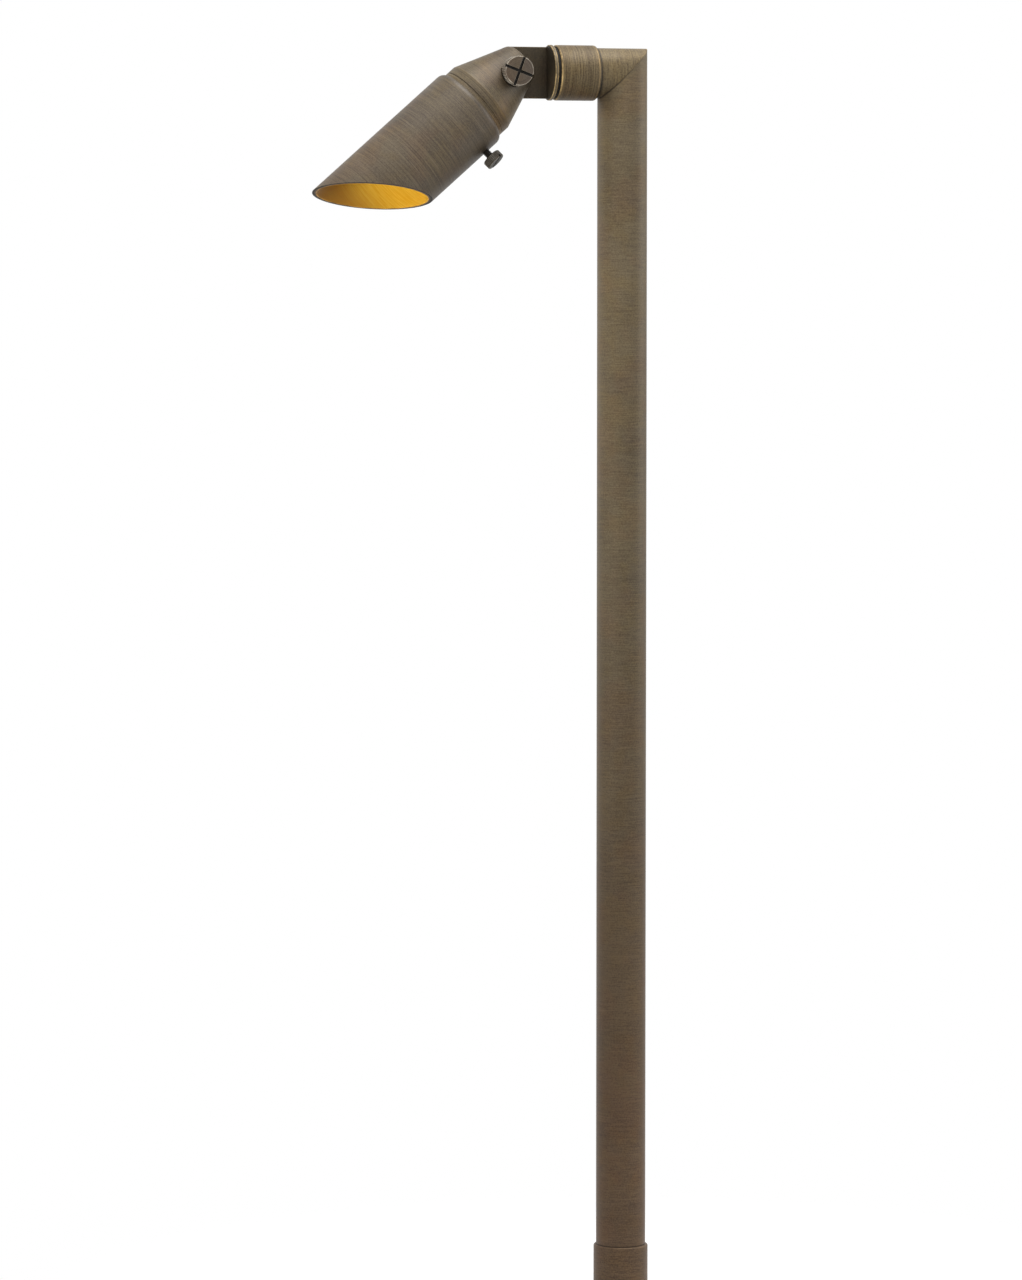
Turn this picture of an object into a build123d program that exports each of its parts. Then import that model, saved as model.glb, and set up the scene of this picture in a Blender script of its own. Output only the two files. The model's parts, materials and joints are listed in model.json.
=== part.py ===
from build123d import *

import math
import os

# Accent spotlight on a tall post, in millimetres.
# Origin at the centre of the foot's lower face, +Z up. The arm points along -X, the tilt axis along Y.

# Post tubes
tube_diameter = 31.75
tube_wall = 1.65
arm_height = 790.0
braze_gap = 0.05

# Base coupling
coupling_diameter = 35.0
web_thickness = 6.0
stem_socket_depth = 16.0
stake_thread_diameter = 19.0
stake_thread_depth = 16.0
coupling_round = 1.2
coupling_foot_bevel = 0.8

# Lead bushing in the coupling's web
bushing_diameter = 12.0
bushing_flange_diameter = 18.0
bushing_flange_thickness = 1.6

# Leads
lead_diameter = 2.0
lead_sides = 8
lead_spacing = 2.4
lead_hole_gap = 0.1
elbow_bend_radius = 12.0
lap_bend_radius = 2.2
lead_end_gap = 0.4

# Collar on the arm
collar_diameter = 35.0
collar_start = 18.4
collar_length = 26.4
arm_insert = 19.6
collar_rear_round = 2.5
collar_front_bevel = 0.5

# Set screw on the collar's far side
set_screw_diameter = 4.0
set_screw_key = 2.0
set_screw_key_depth = 1.6
set_screw_setback = 8.0

# Knuckle
spigot_diameter = 20.6
spigot_bore = 13.4
spigot_length = 16.9
running_gap = 0.05
gasket_diameter = 32.4
gasket_thickness = 2.05
face_gap = 0.05
disc_diameter = 35.1
disc_thickness = 2.2
disc_rim_bevel = 0.35
lug_height = 32.6
lug_side_flat = 1.6
lug_end_reach = 12.6
lug_end_round = 16.0
lap_offset = 3.4
lap_gap = 0.8
lead_bore_diameter = 4.8
lead_bore_wall = 1.2

# Lock nut on the spigot
nut_flats = 23.4
nut_thickness = 5.0

# Seal ring and lead pocket in the lap joint
pocket_inner_diameter = 9.6
pocket_outer_diameter = 18.4
pocket_depth = 6.6
seal_inner_diameter = 19.4
seal_outer_diameter = 23.0
seal_recess = 0.8

# Pivot and its knurled screw
pivot_reach = 75.0
pivot_screw_diameter = 6.0
pivot_screw_grip = 11.0
knob_diameter = 19.05
knob_thickness = 8.5
knob_seat_rise = 0.42
knob_seat_gap = 0.7
knob_teeth = 56
knob_slot_width = 1.8
knob_slot_depth = 2.2
knob_slot_angle = 69.5
knob_bevel = 0.5

# Head at rest: tilt below the horizontal, sizes along its axis counted forwards from the pivot
tilt_at_rest = 41.35
body_diameter = 50.7
cone_half_angle = 19.9
cone_front = 24.5
body_rear_reach = 12.2
body_rear_round = 5.0
lap_depth = 20.5
body_front = 69.5
scribed_line = 30.2
scribed_line_width = 0.6
scribed_line_depth = 0.35

# Cavity of the housing
cavity_floor = 25.0
cavity_rear_diameter = 30.0
cavity_rear_depth = 17.0
cavity_wall = 2.75
cavity_flare_length = 5.0
mouth_length = 5.5
mouth_wall = 1.35

# Seal rings on the housing
ring_section = 1.8
ring_setback = 9.0
ring_pitch = 5.0
ring_gap = 0.02

# Lamp holder
strap_length = 27.0
strap_width = 11.0
strap_thickness = 1.2
strap_screw_spacing = 20.0
strap_screw_diameter = 3.0
strap_screw_head_diameter = 5.5
strap_screw_head_height = 1.9
strap_screw_grip = 3.4
socket_width = 16.0
socket_depth = 10.0
socket_height = 9.5
socket_corner = 2.0
pin_socket_depth = 7.7

# Reflector lamp
lamp_side_gap = 0.6
lamp_rim_height = 4.0
lamp_seat_gap = 0.3
reflector_rim_step = 1.45
reflector_neck_diameter = 21.0
reflector_length = 24.0
reflector_bulge = 2.2
reflector_wall = 1.4
lamp_base_width = 18.6
lamp_base_depth = 11.0
lamp_base_height = 10.0
lamp_base_corner = 3.0
pin_spacing = 5.3
pin_diameter = 1.5
pin_length = 7.0
pin_rooting = 3.0
capsule_diameter = 9.0
capsule_length = 15.0
cover_glass_thickness = 1.2
cover_glass_setback = 0.6

# Lens
lens_thickness = 3.0
lens_edge_gap = 0.25
lens_gasket_width = 2.8
lens_gasket_thickness = 2.0

# Cowl
cowl_wall = 2.25
sleeve_gap = 0.1
cowl_rear = 32.75
cowl_rear_edge = 0.25
cowl_rear_taper = 3.9
cut_angle = 43.4
cut_centre = 118.75
cowl_roll = 22.3
lens_lip_height = 2.2
lens_lip_thickness = 2.0

# Thumbscrew through the cowl
thumbscrew_setback = 14.1
thumbscrew_diameter = 4.8
thumbscrew_reach = 5.0
thumbscrew_head_diameter = 12.5
thumbscrew_head_thickness = 4.9
thumbscrew_teeth = 36
thumbscrew_slot_width = 1.5
thumbscrew_slot_depth = 1.6
thumbscrew_slot_angle = 53.0
thumbscrew_bevel = 0.4

# Worked-out sizes
tube_radius = tube_diameter / 2
tube_bore_radius = tube_radius - tube_wall
coupling_length = stake_thread_depth + web_thickness + stem_socket_depth
stem_foot = stake_thread_depth + web_thickness
collar_front = collar_start + collar_length
arm_end = collar_start + arm_insert
disc_rear = collar_front + gasket_thickness + face_gap
disc_front = disc_rear + disc_thickness
lead_bore_level = lap_offset + lead_bore_wall + lead_bore_diameter / 2
head_lap = lap_offset - lap_gap
body_radius = body_diameter / 2
body_rear = -body_rear_reach
cone_slope = math.tan(math.radians(cone_half_angle))
rear_radius = body_radius - (cone_front - body_rear) * cone_slope
knob_seat = body_radius - cone_front * cone_slope + knob_seat_rise
cavity_radius = body_radius - cavity_wall
ring_positions = (body_front - ring_setback - ring_pitch, body_front - ring_setback)
pocket_radius = (pocket_inner_diameter + pocket_outer_diameter) / 4
socket_seat = cavity_floor + strap_thickness
lamp_radius = body_radius - lamp_side_gap
lamp_rear = socket_seat + socket_height + lamp_seat_gap
reflector_rear = lamp_rear + lamp_base_height
rim_rear = reflector_rear + reflector_length
lamp_front = rim_rear + lamp_rim_height
lens_rear = lamp_front + face_gap + lens_gasket_thickness
lens_front = lens_rear + lens_thickness
cowl_bore_radius = body_radius + sleeve_gap
cowl_radius = cowl_bore_radius + cowl_wall
thumbscrew_place = cowl_rear + thumbscrew_setback
cut_slope = math.tan(math.radians(cut_angle))

# Frames: local z runs along the arm or along the head, local x is upwards, local y is the part's Y
arm_frame = Plane(origin=(0, 0, arm_height), x_dir=(0, 0, 1), z_dir=(-1, 0, 0)).location
tilt = math.radians(tilt_at_rest)
head_frame = Plane(
    origin=(-pivot_reach, 0, arm_height),
    x_dir=(-math.sin(tilt), 0, math.cos(tilt)),
    z_dir=(-math.cos(tilt), 0, -math.sin(tilt)),
).location
cowl_frame = head_frame * Rot(0, 0, cowl_roll)
on_base = (Align.CENTER, Align.CENTER, Align.MIN)


def rod(radius, start, end):
    """Solid cylinder along local z."""
    return Pos(0, 0, start) * Cylinder(radius, end - start, align=on_base)


def ring(outer_radius, inner_radius, start, end):
    """Cylinder along local z with a round bore."""
    return rod(outer_radius, start, end) - rod(inner_radius, start, end)


def cross_rod(radius, start, end):
    """Solid cylinder along local y."""
    return Rot(-90, 0, 0) * rod(radius, start, end)


def corner(face, place):
    """The corner of a flat outline nearest to a place."""
    return face.vertices().sort_by_distance(place)[0]


def turned(outline, rounds=(), bevels=()):
    """Revolve an outline of (radius, z) points about local z, with some corners rounded or bevelled."""
    face = make_face(Polyline(*outline, close=True))
    for place, radius in rounds:
        face = fillet(corner(face, place), radius)
    for place, size in bevels:
        face = chamfer(corner(face, place), size)
    return revolve(Plane.XZ * face, Axis.Z)


def knurled_knob(radius, height, teeth, bevel):
    """Knob with straight knurling round its side, standing on local z = 0."""
    groove = math.pi * radius / teeth / 2
    step = math.pi / teeth
    crests = [radius if i % 2 == 0 else radius - groove for i in range(2 * teeth)]
    outline = [(r * math.cos(i * step), r * math.sin(i * step)) for i, r in enumerate(crests)]
    toothed = extrude(make_face(Polyline(*outline, close=True)), height)
    blank = turned(
        [(0, 0), (radius, 0), (radius, height), (0, height)],
        bevels=[((radius, 0), bevel), ((radius, height), bevel)],
    )
    return toothed & blank


def lead(points, radius):
    """Wire along straight runs joined by one bend radius."""
    path = FilletPolyline(*points, radius=radius)
    section = Plane(origin=path @ 0, z_dir=path % 0) * RegularPolygon(lead_diameter / 2, lead_sides)
    return sweep(section, path=path)


def lead_pair(points_at, radius):
    """Two leads side by side, each through the points that points_at gives for its offset."""
    return [lead(points_at(side * lead_spacing / 2), radius) for side in (-1, 1)]


# Post

def base_coupling():
    radius = coupling_diameter / 2
    socket_radius = tube_radius + braze_gap
    thread_radius = stake_thread_diameter / 2
    hole_radius = bushing_diameter / 2 + braze_gap
    outline = [
        (thread_radius, 0),
        (radius, 0),
        (radius, coupling_length),
        (socket_radius, coupling_length),
        (socket_radius, stem_foot),
        (hole_radius, stem_foot),
        (hole_radius, stake_thread_depth),
        (thread_radius, stake_thread_depth),
    ]
    return turned(
        outline,
        rounds=[((radius, coupling_length), coupling_round)],
        bevels=[((radius, 0), coupling_foot_bevel)],
    )


def lead_bushing():
    flange_top = stem_foot + bushing_flange_thickness
    barrel = rod(bushing_diameter / 2, stake_thread_depth, stem_foot)
    flange = rod(bushing_flange_diameter / 2, stem_foot, flange_top)
    lead_hole = rod(lead_diameter / 2 + lead_hole_gap, stake_thread_depth, flange_top)
    bushing = barrel + flange
    for side in (-1, 1):
        bushing -= Pos(0, side * lead_spacing / 2, 0) * lead_hole
    return bushing


def mitre(tube, keep):
    """Cut a tube at the elbow's 45 degree plane."""
    elbow = Plane(origin=(0, 0, arm_height), z_dir=(1, 0, -1))
    return split(tube, bisect_by=elbow, keep=keep)


def stem_tube():
    stem = ring(tube_radius, tube_bore_radius, stem_foot, arm_height + tube_diameter)
    return mitre(stem, Keep.TOP)


def arm_tube():
    arm = arm_frame * ring(tube_radius, tube_bore_radius, -tube_diameter, arm_end)
    arm = mitre(arm, Keep.BOTTOM)
    return arm - set_screw_bore()


def set_screw_place():
    """Local y axis of the set screw: radially out of the collar's far side."""
    return arm_frame * Pos(0, 0, collar_start + set_screw_setback)


def set_screw_bore():
    bore_radius = set_screw_diameter / 2 + running_gap
    return set_screw_place() * cross_rod(bore_radius, tube_bore_radius - tube_wall, collar_diameter / 2)


def collar_set_screw():
    screw = cross_rod(set_screw_diameter / 2, tube_bore_radius, collar_diameter / 2 - collar_front_bevel)
    top = collar_diameter / 2 - collar_front_bevel
    key = extrude(RegularPolygon(set_screw_key / 2, 6, major_radius=False), set_screw_key_depth)
    return set_screw_place() * (screw - Pos(0, top, 0) * Rot(90, 0, 0) * key)


def arm_collar():
    radius = collar_diameter / 2
    socket_radius = tube_radius + braze_gap
    spigot_hole = spigot_diameter / 2 + running_gap
    outline = [
        (socket_radius, collar_start),
        (radius, collar_start),
        (radius, collar_front),
        (spigot_hole, collar_front),
        (spigot_hole, arm_end),
        (socket_radius, arm_end),
    ]
    # The rear round stops short of the socket
    rear_round = min(collar_rear_round, 0.95 * (radius - socket_radius))
    sleeve = turned(
        outline,
        rounds=[((radius, collar_start), rear_round)],
        bevels=[((radius, collar_front), collar_front_bevel)],
    )
    return arm_frame * sleeve - set_screw_bore()


def post_leads():
    elbow_end = disc_rear - spigot_length - lead_end_gap

    def route(offset):
        return [
            (0, offset, stake_thread_depth + lead_end_gap),
            (0, offset, arm_height),
            (-elbow_end, offset, arm_height),
        ]

    return lead_pair(route, elbow_bend_radius)


# Knuckle

def swivel_gasket():
    inner_radius = spigot_diameter / 2 + running_gap
    start = disc_rear - gasket_thickness
    return arm_frame * ring(gasket_diameter / 2, inner_radius, start, disc_rear)


def knuckle_lug():
    """Lap lug: the far side of a round bar with a domed end, milled flat."""
    bar_radius = math.hypot(lug_height / 2, lap_offset + lug_side_flat)
    end = pivot_reach + lug_end_reach
    bar = turned(
        [(0, disc_front), (bar_radius, disc_front), (bar_radius, end), (0, end)],
        rounds=[((bar_radius, end), min(lug_end_round, 0.95 * bar_radius))],
    )
    far_side = Pos(0, lap_offset, disc_front) * Box(
        lug_height, lug_height, end - disc_front, align=(Align.CENTER, Align.MIN, Align.MIN)
    )
    return bar & far_side


def knuckle_bracket():
    disc_radius = disc_diameter / 2
    disc = turned(
        [(0, disc_rear), (disc_radius, disc_rear), (disc_radius, disc_front), (0, disc_front)],
        bevels=[((disc_radius, disc_rear), disc_rim_bevel), ((disc_radius, disc_front), disc_rim_bevel)],
    )
    spigot_start = disc_rear - spigot_length
    bracket = disc + rod(spigot_diameter / 2, spigot_start, disc_rear) + knuckle_lug()
    bracket -= rod(spigot_bore / 2, spigot_start, disc_rear + disc_thickness / 2)
    bore_start = disc_rear - lead_bore_diameter
    bore = rod(lead_bore_diameter / 2, bore_start, pivot_reach - pocket_radius)
    bracket -= Pos(0, lead_bore_level, 0) * bore
    at_pivot = Pos(0, 0, pivot_reach)
    pocket_end = lap_offset + pocket_depth
    pocket = cross_rod(pocket_outer_diameter / 2, lap_offset, pocket_end)
    pocket -= cross_rod(pocket_inner_diameter / 2, lap_offset, pocket_end)
    seal_end = lap_offset + seal_recess
    seal_groove = cross_rod(seal_outer_diameter / 2, lap_offset, seal_end)
    seal_groove -= cross_rod(seal_inner_diameter / 2, lap_offset, seal_end)
    thread = cross_rod(pivot_screw_diameter / 2 + running_gap, lap_offset, lap_offset + pivot_screw_grip)
    return arm_frame * (bracket - at_pivot * (pocket + seal_groove + thread))


def lock_nut():
    start = arm_end - face_gap - nut_thickness
    blank = Pos(0, 0, start) * extrude(RegularPolygon(nut_flats / 2, 6, major_radius=False), nut_thickness)
    return arm_frame * (blank - rod(spigot_diameter / 2 + running_gap, start, arm_end))


def knuckle_seal():
    start = head_lap + face_gap
    seal = cross_rod(seal_outer_diameter / 2 - running_gap, start, lap_offset + seal_recess)
    seal -= cross_rod(seal_inner_diameter / 2 + running_gap, start, lap_offset + seal_recess)
    return arm_frame * Pos(0, 0, pivot_reach) * seal


def knuckle_leads():
    start = disc_rear - spigot_length
    rise = lead_bore_level
    bend_start = disc_rear - spigot_length / 2
    end = pivot_reach - pocket_radius

    def route(offset):
        return [(offset, 0, start), (offset, 0, bend_start), (offset, rise, disc_rear), (offset, rise, end)]

    return [arm_frame * wire for wire in lead_pair(route, elbow_bend_radius)]


def pivot_screw():
    knob = knurled_knob(knob_diameter / 2, knob_thickness, knob_teeth, knob_bevel)
    slot = Pos(0, 0, knob_thickness) * Box(
        knob_diameter, knob_slot_width, 2 * knob_slot_depth
    )
    for quarter in (0, 90):
        knob -= Rot(0, 0, knob_slot_angle + quarter) * slot
    shank = rod(pivot_screw_diameter / 2, -knob_seat - lap_offset - pivot_screw_grip + face_gap, 0)
    upright = Pos(0, -knob_seat, 0) * Rot(90, 0, 0)
    return arm_frame * Pos(0, 0, pivot_reach) * upright * (knob + shank)


# Head

def housing_blank():
    """Turned outside of the housing: rounded rear, cone, cylinder with a scribed line and ring grooves."""
    line_half = scribed_line_width / 2
    line_floor = body_radius - scribed_line_depth
    outline = [
        (0, body_rear),
        (rear_radius, body_rear),
        (body_radius, cone_front),
        (body_radius, scribed_line - line_half),
        (line_floor, scribed_line),
        (body_radius, scribed_line + line_half),
        (body_radius, body_front),
        (0, body_front),
    ]
    blank = turned(outline, rounds=[((rear_radius, body_rear), body_rear_round)])
    for place in ring_positions:
        groove_half = ring_section / 2 + ring_gap
        groove_floor = cowl_bore_radius - ring_section - 2 * ring_gap
        blank -= ring(body_diameter, groove_floor, place - groove_half, place + groove_half)
    return blank


def housing_cavity():
    rear_end = cavity_floor + cavity_rear_depth
    mouth_start = body_front - mouth_length
    outline = [
        (0, cavity_floor),
        (cavity_rear_diameter / 2, cavity_floor),
        (cavity_rear_diameter / 2, rear_end),
        (cavity_radius, rear_end + cavity_flare_length),
        (cavity_radius, mouth_start),
        (body_radius - mouth_wall, body_front),
        (0, body_front),
    ]
    return turned(outline)


def head_body():
    body = housing_blank() - housing_cavity()
    # Lap: the far side is milled away so that the housing lies against the knuckle's lug
    lap = Pos(0, head_lap, body_rear) * Box(
        body_diameter, body_diameter, lap_depth - body_rear, align=(Align.CENTER, Align.MIN, Align.MIN)
    )
    seat = cross_rod(knob_diameter / 2 + knob_seat_gap, -body_diameter, -knob_seat)
    pivot_hole = cross_rod(pivot_screw_diameter / 2 + running_gap, -body_radius, head_lap)
    lead_level = head_lap - 2 * lap_bend_radius
    lead_radius = lead_bore_diameter / 2
    lead_bore = Pos(0, lead_level, 0) * rod(lead_radius, pocket_radius, cavity_floor)
    lead_mouth = Pos(0, 0, pocket_radius) * cross_rod(lead_radius, lead_level - lead_radius, head_lap)
    body -= lap + seat + pivot_hole + lead_bore + lead_mouth
    hole_radius = strap_screw_diameter / 2 + running_gap
    for side in (-1, 1):
        hole = rod(hole_radius, cavity_floor - strap_screw_grip, cavity_floor)
        body -= Pos(side * strap_screw_spacing / 2, 0, 0) * hole
    return head_frame * body


def body_o_rings():
    outer = cowl_bore_radius - ring_gap
    inner = outer - ring_section
    half = ring_section / 2
    outline = [(inner, -half), (outer, -half), (outer, half), (inner, half)]
    # The round section is drawn as an octagon
    bevel = ring_section / (2 + math.sqrt(2))
    seal = turned(outline, bevels=[(place, bevel) for place in outline])
    return [head_frame * Pos(0, 0, place) * seal for place in ring_positions]


def socket_bracket():
    strap = extrude(RectangleRounded(strap_length, strap_width, strap_width / 4), strap_thickness)
    lead_level = head_lap - 2 * lap_bend_radius
    strap -= Pos(0, lead_level, 0) * rod(lead_bore_diameter / 2, 0, strap_thickness)
    for side in (-1, 1):
        hole = rod(strap_screw_diameter / 2 + running_gap, 0, strap_thickness)
        strap -= Pos(side * strap_screw_spacing / 2, 0, 0) * hole
    return head_frame * Pos(0, 0, cavity_floor) * strap


def socket_screws():
    head_top = socket_seat + strap_screw_head_height
    shank = rod(strap_screw_diameter / 2, cavity_floor - strap_screw_grip + face_gap, socket_seat)
    head = rod(strap_screw_head_diameter / 2, socket_seat, head_top)
    slot = Pos(0, 0, head_top) * Box(
        strap_screw_head_diameter, strap_screw_diameter / 4, strap_screw_head_height
    )
    screw = shank + head - slot
    return [head_frame * Pos(side * strap_screw_spacing / 2, 0, 0) * screw for side in (-1, 1)]


def pin_holes(start, end):
    hole = rod(pin_diameter / 2 + running_gap, start, end)
    return [Pos(0, side * pin_spacing / 2, 0) * hole for side in (-1, 1)]


def lamp_socket():
    block = extrude(RectangleRounded(socket_depth, socket_width, socket_corner), socket_height)
    for hole in pin_holes(socket_height - pin_socket_depth, socket_height):
        block -= hole
    return head_frame * Pos(0, 0, socket_seat) * block


def head_leads():
    level = head_lap - 2 * lap_bend_radius
    end = cavity_floor + strap_thickness - lead_end_gap

    def route(offset):
        return [
            (offset, head_lap - lead_end_gap, pocket_radius),
            (offset, level, pocket_radius),
            (offset, level, end),
        ]

    return [head_frame * wire for wire in lead_pair(route, lap_bend_radius)]


def lamp_base():
    block = extrude(RectangleRounded(lamp_base_depth, lamp_base_width, lamp_base_corner), lamp_base_height)
    for hole in pin_holes(0, pin_rooting):
        block -= hole
    return head_frame * Pos(0, 0, lamp_rear) * block


def lamp_pins():
    pin = rod(pin_diameter / 2, lamp_rear - pin_length, lamp_rear + pin_rooting)
    return [head_frame * Pos(0, side * pin_spacing / 2, 0) * pin for side in (-1, 1)]


def reflector_curve(inset):
    """Bowl line from the neck to the rim, drawn in by inset."""
    neck = (reflector_neck_diameter / 2 - inset, reflector_rear)
    rim = (lamp_radius - reflector_rim_step - inset, rim_rear)
    slant = math.hypot(rim[0] - neck[0], rim[1] - neck[1])
    middle = (
        (neck[0] + rim[0]) / 2 + reflector_bulge * (rim[1] - neck[1]) / slant,
        (neck[1] + rim[1]) / 2 - reflector_bulge * (rim[0] - neck[0]) / slant,
    )
    return ThreePointArc(neck, middle, rim)


def lamp_reflector():
    outer = reflector_curve(0)
    inner = reflector_curve(reflector_wall)
    inner_end = inner @ 1
    glass_radius = lamp_radius - reflector_wall
    glass_rear = lamp_front - cover_glass_setback - cover_glass_thickness
    rim = Polyline(
        outer @ 1,
        (lamp_radius, rim_rear),
        (lamp_radius, lamp_front),
        (glass_radius, lamp_front),
        (glass_radius, glass_rear),
        (inner_end.X, glass_rear),
        inner_end,
    )
    neck = Line(inner @ 0, outer @ 0)
    profile = make_face([outer, rim, inner, neck])
    return head_frame * revolve(Plane.XZ * profile, Axis.Z)


def lamp_capsule():
    radius = capsule_diameter / 2
    stem = rod(radius, reflector_rear, reflector_rear + capsule_length - radius)
    tip = Pos(0, 0, reflector_rear + capsule_length - radius) * Sphere(radius)
    return head_frame * (stem + tip)


def lamp_front_glass():
    glass_rear = lamp_front - cover_glass_setback - cover_glass_thickness
    radius = lamp_radius - reflector_wall - running_gap
    return head_frame * rod(radius, glass_rear, glass_rear + cover_glass_thickness)


# Lens pack and cowl

def lens_gasket():
    radius = cowl_bore_radius - lens_edge_gap
    start = lens_rear - lens_gasket_thickness
    return cowl_frame * ring(radius, radius - lens_gasket_width, start, lens_rear)


def lens():
    return cowl_frame * rod(cowl_bore_radius - lens_edge_gap, lens_rear, lens_front)


def cowl():
    long_end = cut_centre + cowl_radius * cut_slope
    lip_radius = cowl_bore_radius - lens_lip_height
    lip_rear = lens_front + face_gap
    lip_front = lip_rear + lens_lip_thickness
    taper_end = (cowl_radius, cowl_rear + cowl_rear_taper)
    rear_edge = (cowl_bore_radius + cowl_rear_edge, cowl_rear)
    rear_curve = TangentArc(taper_end, rear_edge, tangent=(0, -1))
    wall = Polyline(
        rear_edge,
        (cowl_bore_radius, cowl_rear),
        (cowl_bore_radius, lip_rear),
        (lip_radius, lip_rear),
        (lip_radius, lip_front),
        (cowl_bore_radius, lip_front),
        (cowl_bore_radius, long_end),
        (cowl_radius, long_end),
        taper_end,
    )
    shade = revolve(Plane.XZ * make_face([rear_curve, wall]), Axis.Z)
    # Slant cut: the short side is at local -x, where the thumbscrew is
    cut = Plane(origin=(0, 0, cut_centre), z_dir=(-cut_slope, 0, 1))
    shade = split(shade, bisect_by=cut, keep=Keep.BOTTOM)
    bore = rod(thumbscrew_diameter / 2 + running_gap, 0, 2 * cowl_radius)
    return cowl_frame * (shade - Pos(0, 0, thumbscrew_place) * Rot(0, -90, 0) * bore)


def cowl_thumbscrew():
    seat = cowl_radius + thumbscrew_reach
    knob = knurled_knob(
        thumbscrew_head_diameter / 2, thumbscrew_head_thickness, thumbscrew_teeth, thumbscrew_bevel
    )
    slot = Pos(0, 0, thumbscrew_head_thickness) * Box(
        thumbscrew_head_diameter, thumbscrew_slot_width, 2 * thumbscrew_slot_depth
    )
    knob -= Rot(0, 0, thumbscrew_slot_angle) * slot
    shank = rod(thumbscrew_diameter / 2, cowl_bore_radius - seat, 0)
    outward = Pos(0, 0, thumbscrew_place) * Rot(0, -90, 0) * Pos(0, 0, seat)
    return cowl_frame * outward * (knob + shank)


nodes = (
    base_coupling,
    lead_bushing,
    stem_tube,
    arm_tube,
    arm_collar,
    collar_set_screw,
    post_leads,
    swivel_gasket,
    knuckle_bracket,
    lock_nut,
    knuckle_seal,
    knuckle_leads,
    pivot_screw,
    head_body,
    body_o_rings,
    socket_bracket,
    socket_screws,
    lamp_socket,
    head_leads,
    lamp_base,
    lamp_pins,
    lamp_reflector,
    lamp_capsule,
    lamp_front_glass,
    lens_gasket,
    lens,
    cowl,
    cowl_thumbscrew,
)

os.makedirs("parts", exist_ok=True)
for make in nodes:
    shape = make()
    if isinstance(shape, list):
        shape = Compound(children=shape)
    export_step(shape, f"parts/{make.__name__}.step")
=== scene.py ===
# %% [markdown]
# # Accent spotlight on a post
# The real light is turned and sawn from brass tube and bar, dipped to a dark bronze patina and brushed.
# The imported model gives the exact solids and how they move. This lesson adds what a drawing leaves out:
# eased edges, threads and facets, and finishes that are built from the shape itself, without any picture.

# %% Load the frame
import json
import math
from types import SimpleNamespace

import bmesh
import bpy
from mathutils import Matrix, Vector


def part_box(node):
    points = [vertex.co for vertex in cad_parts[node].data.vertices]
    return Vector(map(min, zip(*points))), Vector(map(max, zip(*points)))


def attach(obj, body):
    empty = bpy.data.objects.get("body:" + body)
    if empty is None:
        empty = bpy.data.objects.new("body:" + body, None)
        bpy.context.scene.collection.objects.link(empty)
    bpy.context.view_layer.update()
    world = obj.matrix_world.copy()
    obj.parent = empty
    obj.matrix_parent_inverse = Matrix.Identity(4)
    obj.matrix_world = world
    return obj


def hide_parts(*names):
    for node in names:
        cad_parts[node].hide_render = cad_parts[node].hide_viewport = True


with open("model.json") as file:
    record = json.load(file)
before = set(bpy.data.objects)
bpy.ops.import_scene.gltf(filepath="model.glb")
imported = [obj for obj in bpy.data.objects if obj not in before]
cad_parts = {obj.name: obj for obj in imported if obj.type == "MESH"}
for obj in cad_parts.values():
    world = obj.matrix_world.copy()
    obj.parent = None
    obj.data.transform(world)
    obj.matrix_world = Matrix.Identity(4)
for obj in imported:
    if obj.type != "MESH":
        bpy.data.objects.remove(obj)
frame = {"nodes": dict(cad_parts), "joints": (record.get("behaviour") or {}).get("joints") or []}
nodes = frame["nodes"]
joints = {joint["name"]: joint for joint in frame["joints"]}
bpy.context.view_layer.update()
MM = 0.001

# %% [markdown]
# ## The camera
# The picture was taken from far away with a long lens, a little to the left of the post and a little
# below the arm. The place below was found by laying the model over it: the arm's foreshortening gives
# the direction, and the ellipse of the shade's mouth gives the height.

# %% Camera
camera_place = Vector((-0.96483, -3.15581, 0.65746))
camera_target = Vector((-0.06771, 0.02070, 0.42865))
camera_lens = 145.1
sensor_long_side = 36

camera_data = bpy.data.cameras.new("photo_camera")
camera_data.sensor_width = sensor_long_side
camera_data.lens = camera_lens
camera = bpy.data.objects.new("photo_camera", camera_data)
camera.location = camera_place
camera.rotation_euler = (camera_target - camera_place).to_track_quat("-Z", "Y").to_euler()
scene = bpy.context.scene
scene.collection.objects.link(camera)
scene.camera = camera
print("camera stands", round((camera_target - camera_place).length, 2), "m away")

# %% [markdown]
# ## Shader maths in plain Python
# A node tree could be written out link by link, but it is hard to read as code. Here a small class wraps
# one output socket, so that an expression such as `1 - mask` adds its own Math node. Every other node
# comes from one method that sets the node up first and then fills or links its sockets.

# %% Wires


class Wire:
    """One output socket, on which Python's operators add Math nodes."""

    def __init__(self, sheet, socket):
        self.sheet = sheet
        self.socket = socket

    def maths(self, operation, first, second=0.0):
        return self.sheet.node("ShaderNodeMath", {"operation": operation}, {0: first, 1: second})

    def __add__(self, other):
        return self.maths("ADD", self, other)

    def __radd__(self, other):
        return self.maths("ADD", other, self)

    def __sub__(self, other):
        return self.maths("SUBTRACT", self, other)

    def __rsub__(self, other):
        return self.maths("SUBTRACT", other, self)

    def __mul__(self, other):
        return self.maths("MULTIPLY", self, other)

    def __rmul__(self, other):
        return self.maths("MULTIPLY", other, self)

    def __truediv__(self, other):
        return self.maths("DIVIDE", self, other)

    def __pow__(self, other):
        return self.maths("POWER", self, other)

    def __abs__(self):
        return self.maths("ABSOLUTE", self)

    def least(self, other):
        return self.maths("MINIMUM", self, other)

    def most(self, other):
        return self.maths("MAXIMUM", self, other)

    def span(self, other):
        """The distance that two distances at a right angle make."""
        return (self * self + other * other) ** 0.5


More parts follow.
